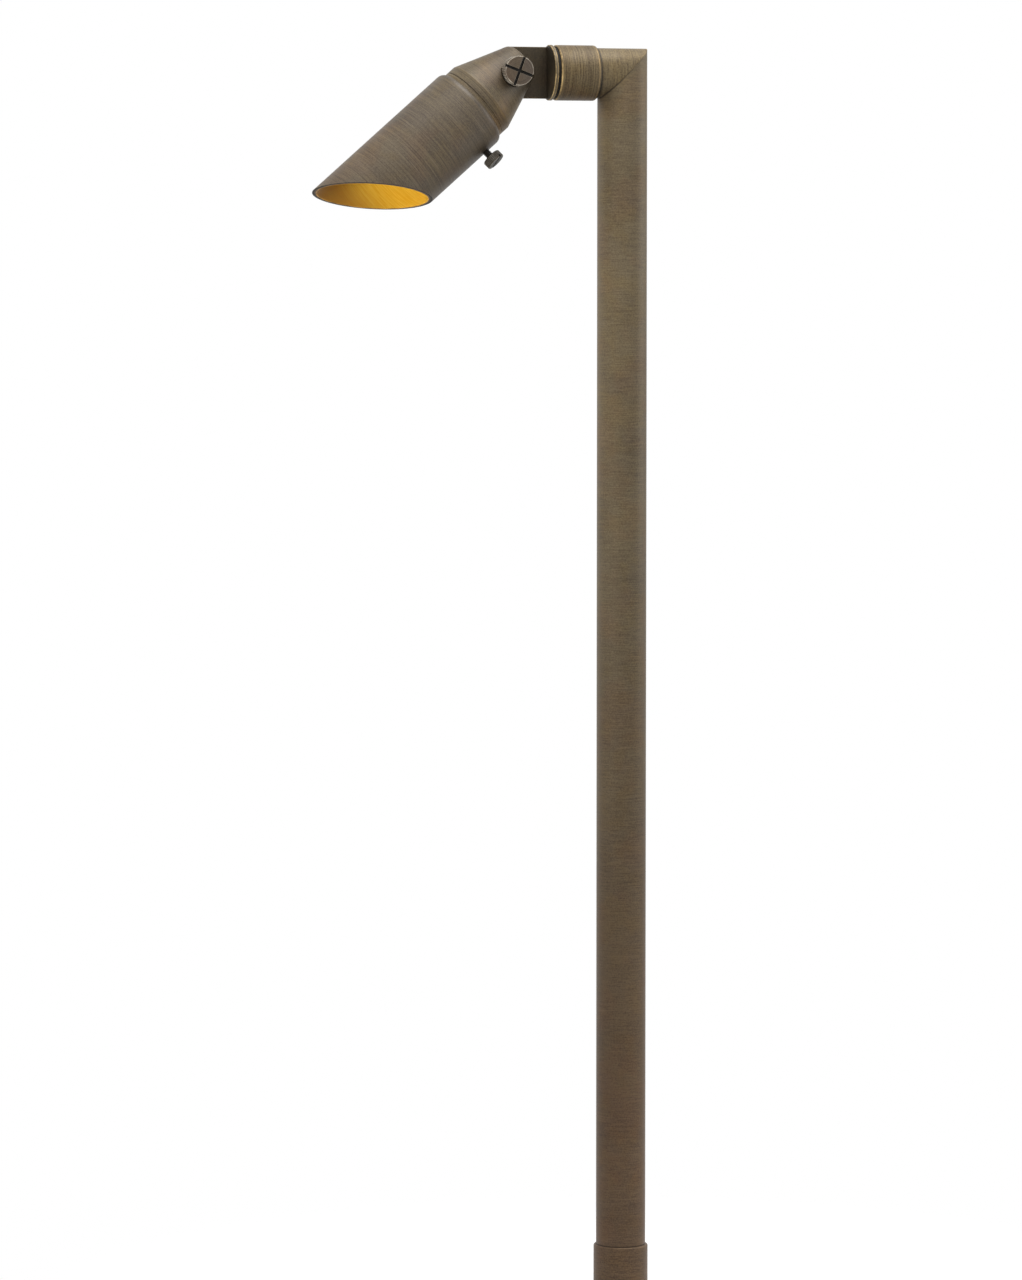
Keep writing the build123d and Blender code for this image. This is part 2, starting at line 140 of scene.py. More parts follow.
# %% Node sheets
class NodeSheet:
    """A node tree that is filled from Python."""

    def __init__(self, owner):
        owner.use_nodes = True
        self.tree = owner.node_tree
        self.tree.nodes.clear()

    def plug(self, socket, value):
        if isinstance(value, Wire):
            self.tree.links.new(value.socket, socket)
        else:
            socket.default_value = value

    def node(self, kind, settings=None, sockets=None, output=0):
        """Add any node: settings first, then values or wires for its sockets."""
        made = self.tree.nodes.new(kind)
        for key, value in (settings or {}).items():
            setattr(made, key, value)
        for key, value in (sockets or {}).items():
            self.plug(made.inputs[key], value)
        return Wire(self, made.outputs[output]) if made.outputs else None

    def ease(self, value, low, high):
        """0 below low, 1 above high, smooth between."""
        return self.node(
            "ShaderNodeMapRange", {"interpolation_type": "SMOOTHSTEP"},
            {"Value": value, "From Min": low, "From Max": high},
        )


# %% Finishes
class Finish(NodeSheet):
    """A material being made: one Principled shader and the nodes that feed it."""

    def __init__(self, name, **values):
        self.material = bpy.data.materials.new(name)
        super().__init__(self.material)
        self.shader = self.tree.nodes.new("ShaderNodeBsdfPrincipled")
        surface = Wire(self, self.shader.outputs["BSDF"])
        self.node("ShaderNodeOutputMaterial", None, {"Surface": surface})
        self.feed(**values)

    def feed(self, **values):
        """Set or link the shader's own sockets: Base_Color=..., Roughness=..."""
        for name, value in values.items():
            self.plug(self.shader.inputs[name.replace("_", " ")], value)

    def place(self):
        """The point being shaded, in the object's own coordinates."""
        return self.node("ShaderNodeTexCoord", output="Object")

    def vector(self, operation, first, second, output="Vector"):
        return self.node("ShaderNodeVectorMath", {"operation": operation}, {0: first, 1: second}, output)

    def measure(self, origin, direction):
        """How far the point being shaded lies from an origin, along a direction."""
        offset = self.vector("SUBTRACT", self.place(), tuple(origin))
        return self.vector("DOT_PRODUCT", offset, tuple(direction), "Value")

    def bundle(self, x, y, z):
        return self.node("ShaderNodeCombineXYZ", None, {0: x, 1: y, 2: z})

    def noise(self, vector, scale=1.0, detail=2.0, roughness=0.5):
        return self.node(
            "ShaderNodeTexNoise", None,
            {"Vector": vector, "Scale": scale, "Detail": detail, "Roughness": roughness},
        )

    def mix(self, share, first, second, blend="MIX"):
        """Mix two colours."""
        return self.node(
            "ShaderNodeMix", {"data_type": "RGBA", "blend_type": blend},
            {0: share, 6: first, 7: second}, output=2,
        )

    def bump(self, height, depth, strength=1.0):
        return self.node(
            "ShaderNodeBump", None, {"Height": height, "Distance": depth, "Strength": strength}
        )


# %% Colours
def linear(value):
    """One channel as it is read off a screen, from 0 to 255, as an amount of light."""
    value = value / 255
    return value / 12.92 if value <= 0.04045 else ((value + 0.055) / 1.055) ** 2.4


def paint(red, green, blue):
    """A colour as it is read off a screen, turned into the linear value that a shader takes."""
    return (linear(red), linear(green), linear(blue), 1.0)


print("half of 255 on a screen is", round(linear(127.5), 3), "of the light")

# %% [markdown]
# ## Lines turned round an axis
# Every visible piece was brushed while it turned, so the lines run round its axis. A picture of brushed
# metal could be wrapped round, but it would stretch and show a seam. Noise does neither: measured along
# the axis the lines are a fraction of a millimetre apart, and round it they are up to a few centimetres
# long. A flat end face was turned too, so a share of the distance from the axis is added to the distance
# along it, which draws rings there.

# %% Lathe coordinates
ring_share = 1.7


class Lathe:
    """Where a point lies on a turned piece: along its axis, out from it, and across it."""

    def __init__(self, finish, origin, axis):
        axis = Vector(axis).normalized()
        side = axis.orthogonal().normalized()
        self.finish = finish
        self.along = finish.measure(origin, axis)
        self.side = finish.measure(origin, side)
        self.rise = finish.measure(origin, axis.cross(side))
        self.out = self.side.span(self.rise)

    def lines(self, spacing, length, detail=2.0, roughness=0.6, rings=ring_share):
        """Noise in lines round the axis, about so far apart and so long."""
        step = (self.along + self.out * rings) / spacing
        across = self.finish.bundle(self.side / length, self.rise / length, step)
        return self.finish.noise(across, 1.0, detail, roughness)

    def near_edges(self, edges, reach):
        """1 at the given (along, out) circles, fading to 0 at reach from them."""
        nearest = None
        for along, out in edges:
            gap = (self.along - along).span(self.out - out)
            nearest = gap if nearest is None else nearest.least(gap)
        return 1 - self.finish.ease(nearest, 0.1 * reach, reach)


print("lines on a flat face lie", round(1 / ring_share, 2), "times as far apart as on a side")

# %% [markdown]
# ## Brushed bronze
# The patina is a thin dark film. Brushing thins it in lines, where the brass below shows warmer and
# lighter, and handling wears it through at the edges. Large soft clouds vary its tone from olive to
# brown. One even brown would look like plastic, so all of this is built up in layers. There are three
# brushes: long strokes for collar and head, short ones for the tubes, and a flat one for the milled lug.
# Only colour, roughness and bump vary over the surface, so that the finish survives an export.

# %% Bronze colours and brushes
patina_dark = paint(64, 53, 40)
patina_light = paint(112, 99, 74)
brass_line = paint(150, 135, 108)
brass_edge = paint(176, 148, 104)
brass_bright = paint(212, 180, 124)
# the dark film's colour, also used for painted shade
film_and_shade_dark = paint(26, 22, 18)
plain_tone = (1.0, 1.0, 1.0)
gold_cast = (1.08, 1.0, 0.78)
red_cast = (1.08, 0.9, 0.84)
grey_cast = (0.96, 0.98, 1.12)

fine_weight = 1.3
cloud_weight = 0.3
patina_range = (0.12, 0.88)
cast_range = (0.46, 0.62)
scratch_range = (0.64, 0.72)
worn_range = (0.32, 0.66)
cast_scales = ((gold_cast, 62.0), (red_cast, 41.0), (grey_cast, 53.0))
cloud_scale = 24.0
speck_scale = 1100.0
worn_patch_scale = 210.0
fine_spacing = 0.32 * MM
broad_spacing = 0.9 * MM
scratch_spacing = 0.7 * MM
broad_stretch = 1.6
scratch_length = 26 * MM
brush_depth = 0.05 * MM
bump_strength = 0.45
bronze_roughness = 0.5
roughness_swing = 0.25
bronze_metal = 0.25

long_brush = SimpleNamespace(stroke=30 * MM, bands=0.5, specks=0.55, patches=0.45, rings=ring_share)
short_brush = SimpleNamespace(stroke=9 * MM, bands=0.35, specks=0.8, patches=0.35, rings=ring_share)
flat_brush = SimpleNamespace(stroke=6 * MM, bands=0.2, specks=0.9, patches=0.35, rings=0.0)
for film in (patina_dark, patina_light):
    print("patina with a base colour of", [round(channel, 3) for channel in film[:3]])


# %% Bronze
class Bronze(Finish):
    """Patina over brass, brushed round an axis."""

    def __init__(self, name, origin, axis, tone=plain_tone, grain=1.0, scratches=0.3, brush=long_brush):
        super().__init__(name)
        rings = brush.rings
        self.lathe = Lathe(self, origin, axis)
        fine = self.lathe.lines(fine_spacing, brush.stroke, detail=3.0, roughness=0.65, rings=rings)
        broad_stroke = broad_stretch * brush.stroke
        broad = self.lathe.lines(broad_spacing, broad_stroke, detail=2.0, roughness=0.5, rings=rings)
        speck = self.noise(self.place(), speck_scale, detail=1.0)
        cloud = self.noise(self.place(), cloud_scale, detail=3.0, roughness=0.55)
        lines = (fine - 0.5) * fine_weight + (broad - 0.5) * brush.bands + (speck - 0.5) * brush.specks
        thinned = 0.5 + lines * grain + (cloud - 0.5) * cloud_weight
        self.colour = self.mix(self.ease(thinned, *patina_range), patina_dark, patina_light)
        for cast, scale in cast_scales:
            patch = self.ease(self.noise(self.place(), scale, detail=2.0), *cast_range)
            self.tint(patch * brush.patches, cast)
        scratch = self.lathe.lines(
            scratch_spacing, scratch_length, detail=1.0, roughness=0.4, rings=rings
        )
        self.colour = self.mix(self.ease(scratch, *scratch_range) * scratches, self.colour, brass_line)
        if tone != plain_tone:
            self.tint(1.0, tone)
        self.roughness = bronze_roughness + (fine - 0.5) * roughness_swing
        self.height = fine * 0.7 + broad * 0.3

    def tint(self, mask, tone):
        """Multiply the colour by a tone where the mask is 1."""
        self.colour = self.mix(mask, self.colour, (*tone, 1.0), "MULTIPLY")

    def wear(self, mask, share=1.0, colour=brass_edge):
        """Let the brass show where the mask is 1, in broken patches."""
        patch = self.ease(self.noise(self.place(), worn_patch_scale, detail=2.0), *worn_range)
        worn = mask * share * (0.25 + patch * 0.75)
        self.colour = self.mix(worn, self.colour, colour)
        self.roughness = self.roughness - worn * 0.1

    def stain_and_shade(self, mask, share=1.0):
        """Darken to the dark film where the mask is 1: real film in places, painted shade in others."""
        self.colour = self.mix(mask * share, self.colour, film_and_shade_dark)

    def done(self, gloss=0.35):
        """Feed the shader, and give back the material."""
        self.feed(
            Base_Color=self.colour,
            Roughness=self.roughness,
            Metallic=bronze_metal,
            Specular_IOR_Level=gloss,
            Normal=self.bump(self.height, brush_depth, bump_strength),
        )
        print(self.material.name, len(self.tree.nodes), "shader nodes")
        return self.material


# %% [markdown]
# ## Where the pieces stand
# A piece is turned upright on the bench, with its axis along z, and is then carried to its place. The
# places could be fitted by eye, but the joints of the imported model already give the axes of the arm, the
# head and both screws, so they are read from there.

# %% Places
pivot = Vector(joints["head_tilt"]["pos_m"])
tilt_axis = Vector(joints["head_tilt"]["axis"])
head_axis = Vector(joints["cowl_slide"]["axis"]).normalized()
head_top = tilt_axis.cross(head_axis)
arm_axis = Vector(joints["knuckle_swivel"]["axis"])
knob_axis = Vector(joints["pivot_screw_turn"]["axis"])
screw_seat = Vector(joints["thumbscrew_turn"]["pos_m"])
screw_axis = Vector(joints["thumbscrew_turn"]["axis"]).normalized()
foot = Vector((0, 0, 0))
right = Vector((1, 0, 0))
up = Vector((0, 0, 1))
arm_corner = Vector((0, 0, pivot.z))


def stand(origin, along, over):
    """The matrix that carries a piece from the bench: its z goes along, its x goes over."""
    turn = Matrix((over, along.cross(over), along)).transposed().to_4x4()
    return Matrix.Translation(origin) @ turn


post_stand = Matrix.Identity(4)
arm_stand = stand(arm_corner, arm_axis, up)
head_stand = stand(pivot, head_axis, head_top)
shade_stand = stand(pivot, head_axis, -screw_axis)
print("head points along", [round(c, 4) for c in head_axis])

# %% [markdown]
# ## The bench
# A lathe piece could be cut from a cylinder, but it is cleaner to start with a few vertices that draw
# half its outline. Spin turns them round, with use_merge so that the full turn closes, and then single
# rings of edges are eased with bevel. A mesh that came from spin may be inside out, so its normals are
# worked out once its doubles are merged.

# %% Outlines and turning
merge_reach = 0.0005 * MM
turn_steps = 128


def outline(mesh, points, closed=False):
    """A line of (out, along) points in the bench's xz plane. Returns its vertices and edges."""
    verts = [mesh.verts.new((out, 0, along)) for out, along in points]
    pairs = list(zip(verts, verts[1:]))
    if closed:
        pairs.append((verts[-1], verts[0]))
    return verts + [mesh.edges.new(pair) for pair in pairs]


def tidy(mesh):
    """Merge doubles and turn all faces outwards."""
    bmesh.ops.remove_doubles(mesh, verts=mesh.verts, dist=merge_reach)
    bmesh.ops.recalc_face_normals(mesh, faces=mesh.faces)


def open_edges(mesh):
    """The edges that have a face on one side only."""
    return [edge for edge in mesh.edges if edge.is_boundary]


def sweep_round(mesh, geometry, steps=turn_steps):
    """Turn vertices and edges once round the bench's z axis."""
    bmesh.ops.spin(
        mesh, geom=geometry, cent=(0, 0, 0), axis=up, angle=math.tau, steps=steps, use_merge=True
    )
    tidy(mesh)


print("a full turn takes", turn_steps, "steps, and points closer than", merge_reach / MM, "mm are one")

# %% Edges and cuts
hoop_reach = 0.01 * MM


def hoops(mesh, *circles):
    """The edges that lie on the given (out, along) circles."""
    def on(vert):
        return any(
            abs(vert.co.xy.length - out) < hoop_reach and abs(vert.co.z - along) < hoop_reach
            for out, along in circles
        )
    return [edge for edge in mesh.edges if all(on(vert) for vert in edge.verts)]


def each_edge(faces):
    """The edges of some faces, each once and always in the same order."""
    return list(dict.fromkeys(edge for face in faces for edge in face.edges))


def ease_edges(mesh, edges, size, segments):
    """Round edges off, or bevel them with one segment."""
    bmesh.ops.bevel(
        mesh, geom=edges, offset=size, offset_type="OFFSET", affect="EDGES",
        segments=segments, profile=0.5, material=-1,
    )


def slice_through(mesh, place, normal, clear=False):
    """Cut edges where a plane meets the mesh, and clear away the normal's side if wanted."""
    everything = mesh.verts[:] + mesh.edges[:] + mesh.faces[:]
    bmesh.ops.bisect_plane(
        mesh, geom=everything, dist=merge_reach, plane_co=place, plane_no=normal, clear_outer=clear
    )


def saw(mesh, place, normal):
    """Saw off the normal's side of a tube, and close its end between the two rims."""
    slice_through(mesh, place, normal, clear=True)
    return bmesh.ops.bridge_loops(mesh, edges=open_edges(mesh))["faces"]


print("an edge within", hoop_reach / MM, "mm of a circle belongs to it")

# %% Handing over
def hand_over(mesh, name, body, finishes, place=post_stand, node=None, crease=30):
    """Carry a piece from the bench to its place and make it an object that moves with its body."""
    bmesh.ops.transform(mesh, matrix=place, verts=mesh.verts)
    data = bpy.data.meshes.new(name)
    mesh.to_mesh(data)
    mesh.free()
    data.shade_smooth()
    data.set_sharp_from_angle(angle=math.radians(crease))
    for finish in finishes:
        data.materials.append(finish)
    piece = bpy.data.objects.new(name, data)
    scene.collection.objects.link(piece)
    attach(piece, body)
    if node:
        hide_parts(node)
    print(name, len(data.polygons), "faces")


def dress(node, material):
    """Give a carried-over node its finish."""
    data = nodes[node].data
    data.materials.clear()
    data.materials.append(material)
    print(node, "gets", material.name)


print(len(nodes), "nodes wait for a finish, or for a piece that stands for them")

# %% [markdown]
# ## Stem and arm
# The post is one size of brass tube, sawn at 45 degrees and brazed. It could be one line that is bent and
# thickened, but that gives a bend and no mitre. So each tube is a closed outline of four corners turned
# round the axis. It is sawn with bisect_plane, the cut is bridged between its two rims, and the rims are
# eased, so that the seam of the elbow shows as a fine groove and not as a drawn line.

# %% Tube sizes
tube_out = 15.875 * MM
tube_wall = 1.65 * MM
tube_bore = tube_out - tube_wall
seam_ease = 0.22 * MM
stem_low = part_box("stem_tube")[0].z
arm_end = -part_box("arm_tube")[0].x
collar_rear = -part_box("arm_collar")[1].x
coupling_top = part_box("base_coupling")[1].z
stem_length = arm_corner.z - stem_low
print("stem", round(stem_length / MM, 1), "mm to the corner, arm", round(arm_end / MM, 1), "mm")

# %% [markdown]
# ## Finish of the elbow
# The film stays dark along the seam towards the inner corner, while the outer corner is rubbed. The
# inner corner itself is darkened with painted shade, where the arm shades the stem. Towards the foot the
# post turns a little redder. These places are known from the shape, so distances to the seam and the
# corner make the masks.

# %% Stem and arm finish
foot_tone = (1.08, 0.88, 0.84)
foot_fade = 0.5
# painted light: the arm is made lighter than the stem, as if lit more from above
arm_lit_tone = (1.25, 1.22, 1.1)


def elbow_seam_and_shade(finish):
    """Dark film along the seam, painted shade in the inner corner, bright brass where the seam ends
    outside.
    """
    across = finish.measure(arm_corner, right)
    rise = finish.measure(arm_corner, up)
    on_seam = 1 - finish.ease(abs(rise - across), 0.2 * MM, 1.0 * MM)
    inner_part = 1 - finish.ease(across, -12 * MM, 9 * MM)
    outer_part = finish.ease(across, 8 * MM, 15 * MM)
    from_corner = (across + tube_out).span(rise + tube_out)
    finish.stain_and_shade(on_seam * inner_part, share=0.7)
    finish.wear(on_seam * outer_part, share=0.5)
    # painted shade: the inner corner is darkened where the arm shades the stem
    finish.stain_and_shade(1 - finish.ease(from_corner, 1 * MM, 15 * MM), share=0.4)


stem_bronze = Bronze("stem_bronze", foot, up, grain=0.5, scratches=0.06, brush=short_brush)
stem_bronze.tint(1 - stem_bronze.ease(stem_bronze.lathe.along, 0, foot_fade), foot_tone)
# painted shade: a dark band on the stem where it goes into the coupling
stem_bronze.stain_and_shade(stem_bronze.lathe.near_edges([(coupling_top, tube_out)], reach=0.9 * MM), share=0.8)
elbow_seam_and_shade(stem_bronze)

arm_bronze = Bronze(
    "arm_bronze", arm_corner, arm_axis, arm_lit_tone, grain=0.85, scratches=0.15, brush=short_brush
)
# painted shade: a dark band on the arm where it goes into the collar
arm_bronze.stain_and_shade(arm_bronze.lathe.near_edges([(collar_rear, tube_out)], reach=1.5 * MM), share=0.95)
elbow_seam_and_shade(arm_bronze)

# %% Stem and arm
saw_spare = 2 * tube_out


def mitred_tube(name, node, finish, place, start, end, cut_place, cut_normal):
    """A tube from start to end on the bench, sawn through cut_place, with its outer rim eased."""
    mesh = bmesh.new()
    corners = [(tube_bore, start), (tube_out, start), (tube_out, end), (tube_bore, end)]
    sweep_round(mesh, outline(mesh, corners, closed=True))
    cut = saw(mesh, cut_place, cut_normal)
    tidy(mesh)
    outside = tube_out - seam_ease
    rim = [edge for edge in each_edge(cut) if all(vert.co.xy.length > outside for vert in edge.verts)]
    ease_edges(mesh, rim, seam_ease, segments=2)
    hand_over(mesh, name, "post", [finish.done()], place, node)


stem_end = arm_corner.z + saw_spare
stem_cut = Vector((-1, 0, 1))
arm_cut = Vector((-1, 0, -1))
mitred_tube("stem", "stem_tube", stem_bronze, post_stand, stem_low, stem_end, arm_corner, stem_cut)
mitred_tube("arm", "arm_tube", arm_bronze, arm_stand, -saw_spare, arm_end, foot, arm_cut)

# %% [markdown]
# ## Threads
# A thread is a ridge that climbs as it turns. A bump could draw it, but its outline would stay straight.
# Spin makes the real ridge: with dvec, every step of the turn also moves the section along the axis. The
# ridge sinks a little into the wall that carries it, and both of its ends are closed.

# %% Thread tool
thread_steps = 36
thread_sink = 0.05 * MM
flank_share = 0.42
land_share = 0.07


def climb_round(mesh, section, pitch, turns, steps):
    """Turn a closed section round the z axis, up by one pitch a turn, and close both ends."""
    last = bmesh.ops.spin(
        mesh, geom=section, cent=(0, 0, 0), axis=up, dvec=(0, 0, pitch / steps),
        angle=math.tau * turns, steps=steps * turns,
    )["geom_last"]
    climb = Vector((0, 0, pitch * turns))
    reached = [item for item in last if isinstance(item, bmesh.types.BMVert)]
    start = [item for item in section if isinstance(item, bmesh.types.BMVert)]
    end = [min(reached, key=lambda vert: (vert.co - corner.co - climb).length) for corner in start]
    mesh.faces.new(start)
    mesh.faces.new(end)


def cut_thread(mesh, root, crest, pitch, start, turns):
    """A ridge from the root radius to the crest radius, climbing one pitch a turn."""
    flank = flank_share * pitch
    land = land_share * pitch
    corners = [(root, start - flank), (crest, start - land), (crest, start + land), (root, start + flank)]
    climb_round(mesh, outline(mesh, corners, closed=True), pitch, turns, thread_steps)
    print("thread of", turns, "turns, pitch", round(pitch / MM, 3), "mm")


# %% [markdown]
# ## Base coupling
# The turned socket at the foot of the post. The stem stands in its upper bore, a web carries the lead
# bushing, and the lower bore is threaded. The solid's bore is plain, so the piece is turned once more
# with its thread. Its upper rim is rounded and slightly worn.

# %% Base coupling
coupling_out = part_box("base_coupling")[1].x
coupling_round = 1.2 * MM
coupling_bevel = 0.8 * MM
coupling_tone = (1.0, 0.8, 0.74)
web_low = 16 * MM
bushing_hole = 6.05 * MM
bore_crest = 9.5 * MM
bore_root = 10.45 * MM
bore_pitch = 1.814 * MM
bore_start = 1.8 * MM
bore_turns = 7
mesh = bmesh.new()
sweep_round(mesh, outline(mesh, [
    (bore_root, 0), (coupling_out, 0), (coupling_out, coupling_top), (tube_out, coupling_top),
    (tube_out, stem_low), (bushing_hole, stem_low), (bushing_hole, web_low), (bore_root, web_low),
], closed=True))
ease_edges(mesh, hoops(mesh, (coupling_out, coupling_top)), coupling_round, segments=5)
ease_edges(mesh, hoops(mesh, (coupling_out, 0), (bore_root, 0)), coupling_bevel, segments=1)
cut_thread(mesh, bore_root + thread_sink, bore_crest, bore_pitch, bore_start, bore_turns)
tidy(mesh)
coupling_bronze = Bronze(
    "coupling_bronze", foot, up, coupling_tone, grain=0.7, scratches=0.1, brush=short_brush
)
coupling_rim = coupling_bronze.lathe.near_edges([(coupling_top, coupling_out)], reach=0.9 * MM)
coupling_bronze.wear(coupling_rim, share=0.12)
hand_over(mesh, "coupling", "post", [coupling_bronze.done()], post_stand, "base_coupling")

# %% [markdown]
# ## Arm collar, lock nut and set screw
# The collar's solid already has its rounded rear edge, its bevelled front and the set screw's hole, so it
# stays as it is. Its finish is worn bright along the front edge, where the knuckle's disc has rubbed, and
# a little at the rear. Where the arm comes out it gets a dark band of painted shade, and its underside is
# darkened with painted shade.

# %% Collar
collar_low, collar_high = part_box("arm_collar")
collar_out = (collar_high.z - collar_low.z) / 2
collar_front = -collar_low.x
collar_bevel = 0.2 * MM
collar_round = 1.6 * MM
collar_tone = (1.08, 1.06, 1.05)
underside_shade_tone = (0.66, 0.64, 0.6)
set_screw_tone = (0.5, 0.5, 0.5)
collar_bronze = Bronze("collar_bronze", arm_corner, arm_axis, collar_tone, grain=1.1, scratches=0.25)
collar_near = collar_bronze.lathe.near_edges
front_edge = collar_near([(collar_front - collar_bevel, collar_out - collar_bevel)], reach=1.0 * MM)
back_edge = collar_near([(collar_rear + collar_round, collar_out)], reach=0.6 * MM)
arm_joint_shade = collar_near([(collar_rear, tube_out)], reach=1.2 * MM)
underside_shade = 1 - collar_bronze.ease(collar_bronze.measure(arm_corner, up), -17 * MM, -2 * MM)
collar_bronze.wear(front_edge, share=0.75, colour=brass_bright)
collar_bronze.wear(back_edge, share=0.5)
# painted shade: a dark band where the arm comes out of the collar
collar_bronze.stain_and_shade(arm_joint_shade, share=0.85)
# painted shade: the collar is darker on its underside
collar_bronze.tint(underside_shade, underside_shade_tone)
dress("arm_collar", collar_bronze.done(gloss=0.2))
dress("lock_nut", Bronze("nut_bronze", arm_corner, arm_axis).done())
dress("collar_set_screw", Bronze("set_screw_bronze", arm_corner, tilt_axis, set_screw_tone).done())

# %% [markdown]
# ## Knuckle
# A thin disc turns against the collar and carries a flat lug for the head. The solid is exact, so it only
# gets a finish. Both edges of the disc are worn bright. The lug was milled after turning, so it is
# brushed straight, without rings. It sits back behind the head, so it is darkened with painted shade,
# and so is the disc's face beside it. Only its long edge is rubbed.

# %% Knuckle
disc_rear = 46.9 * MM
disc_front = 49.1 * MM
disc_out = 17.55 * MM
disc_face = 0.3 * MM
lug_half = 16.3 * MM
lap_face = 3.4 * MM
knuckle_bronze = Bronze(
    "knuckle_bronze", arm_corner, arm_axis, grain=0.5, scratches=0.06, brush=flat_brush
)
knuckle_lathe = knuckle_bronze.lathe
disc_edges = knuckle_lathe.near_edges([(disc_rear, disc_out), (disc_front, disc_out)], reach=0.8 * MM)
on_lug = knuckle_bronze.ease(knuckle_lathe.along, disc_front - disc_face, disc_front)
past_disc = knuckle_bronze.ease(knuckle_lathe.along, disc_front, disc_front + disc_face)
in_from_rim = 1 - knuckle_bronze.ease(knuckle_lathe.out, disc_out - 0.9 * MM, disc_out - 0.3 * MM)
lug_side = knuckle_bronze.measure(arm_corner, tilt_axis) - lap_face
lug_height = abs(knuckle_bronze.measure(arm_corner, up)) - lug_half
lug_edge = 1 - knuckle_bronze.ease(lug_side.span(lug_height), 0.1 * MM, 0.7 * MM)
knuckle_bronze.wear(disc_edges, share=0.8, colour=brass_bright)
# painted shade: the lug is darkened, as it sits back behind the head
knuckle_bronze.stain_and_shade(on_lug * in_from_rim, share=0.48)
# painted shade: the disc's face next to the lug is darkened further
knuckle_bronze.stain_and_shade(on_lug * (1 - past_disc) * in_from_rim, share=0.35)
knuckle_bronze.wear(lug_edge * on_lug, share=0.35)
dress("knuckle_bracket", knuckle_bronze.done())

# %% [markdown]
# ## Head
# The housing is turned in one setting: a rounded rear end, a cone and a cylinder on which the shade
# slides. The solid has all of that and the milled lap, so it stays. The finish keeps dark film in the
# scribed line, most of it on the upper side, and has a painted shadow round the knob. In front of that
# line a band is brightened with painted light, and the underside of the cone with warmer painted light.

# %% Head
cone_front = 24.5 * MM
body_out = 25.35 * MM
scribed_line = 30.2 * MM
head_tone = (0.86, 0.86, 0.88)
light_band_tone = (1.35, 1.33, 1.28)
lower_light_tone = (1.35, 1.28, 1.15)
head_bronze = Bronze("head_bronze", pivot, head_axis, head_tone, grain=0.95, scratches=0.15)
head_lathe = head_bronze.lathe
above_axis = head_bronze.measure(pivot, head_top)
cone_edge = head_lathe.near_edges([(cone_front, body_out)], reach=1.2 * MM)
line_edge = head_lathe.near_edges([(scribed_line, body_out)], reach=0.5 * MM)
line_left = 0.15 + head_bronze.ease(above_axis, 4 * MM, 16 * MM) * 0.55
painted_light_band = head_bronze.ease(head_lathe.along, scribed_line, scribed_line + 1 * MM)
below_axis = 1 - head_bronze.ease(above_axis, -16 * MM, -2 * MM)
past_knob = head_bronze.ease(head_lathe.along, 2 * MM, 14 * MM)
from_knob = Lathe(head_bronze, pivot, knob_axis).out
head_bronze.wear(cone_edge, share=0.08)
head_bronze.stain_and_shade(line_edge * line_left)
# painted light: a band in front of the scribed line is made lighter
head_bronze.tint(painted_light_band, light_band_tone)
# painted light: the underside of the cone is made lighter and warmer, as if lit from the right
head_bronze.tint(below_axis * past_knob, lower_light_tone)
# painted shadow: the cone is darkened round the knob
head_bronze.stain_and_shade(1 - head_bronze.ease(from_knob, 9.5 * MM, 20 * MM), share=0.35)
dress("head_body", head_bronze.done())

# %% [markdown]
# ## Shade
# The shade is a tube with an eased rear edge, a lip inside that holds the lens, and a slanted cut. The
# slant could be cut with a boolean, but bisect_plane leaves a cleaner rim. So the outline is turned
# first, with a rear curve that one vertex draws while it is spun about the curve's centre. Then the slant
# is sawn, the cut is bridged, and its two rims are eased so that they catch the light. The inside and
# the cut get finishes of their own.

# %% Curved outlines


def bow(mesh, start, end, bulge, steps):
    """A curved line between two (out, along) points, standing off to the left of its chord by bulge.

    One vertex is spun about the curve's centre. Returns the vertices in order, then their edges.
    """
    start, end = Vector(start), Vector(end)
    chord = end - start
    radius = (chord.length_squared / 4 + bulge * bulge) / (2 * bulge)
    left = Vector((-chord.y, chord.x)).normalized()
    centre = (start + end) / 2 - left * (radius - bulge)
    first = mesh.verts.new((start.x, 0, start.y))
    known = set(mesh.verts) | set(mesh.edges)
    bmesh.ops.spin(
        mesh, geom=[first], cent=(centre.x, 0, centre.y), axis=(0, 1, 0),
        angle=2 * math.asin(chord.length / 2 / radius), steps=steps,
    )
    verts = [first] + [vert for vert in mesh.verts if vert not in known]
    verts.sort(key=lambda vert: (vert.co - first.co).length)
    return verts + [edge for edge in mesh.edges if edge not in known]


# %% Shade
shade_out = 27.7 * MM
shade_bore = 25.45 * MM
shade_rear = 32.75 * MM
rear_taper = 3.9 * MM
rear_edge = 0.25 * MM
rear_bulge = 0.53 * MM
rear_steps = 8
lens_front = 79.05 * MM
lens_gap = 0.05 * MM
lip_height = 2.2 * MM
lip_length = 2 * MM
lip_rear = lens_front + lens_gap
lip_front = lip_rear + lip_length
cut_centre = 118.75 * MM
cut_angle = 43.4
cut_slope = math.tan(math.radians(cut_angle))
cut_over = 1.1
rim_ease = 0.3 * MM
long_end = cut_centre + cut_over * shade_out * cut_slope
inside_reach = shade_bore + 0.05 * MM
shade_steps = 160
outer_skin, inner_skin, cut_skin = range(3)

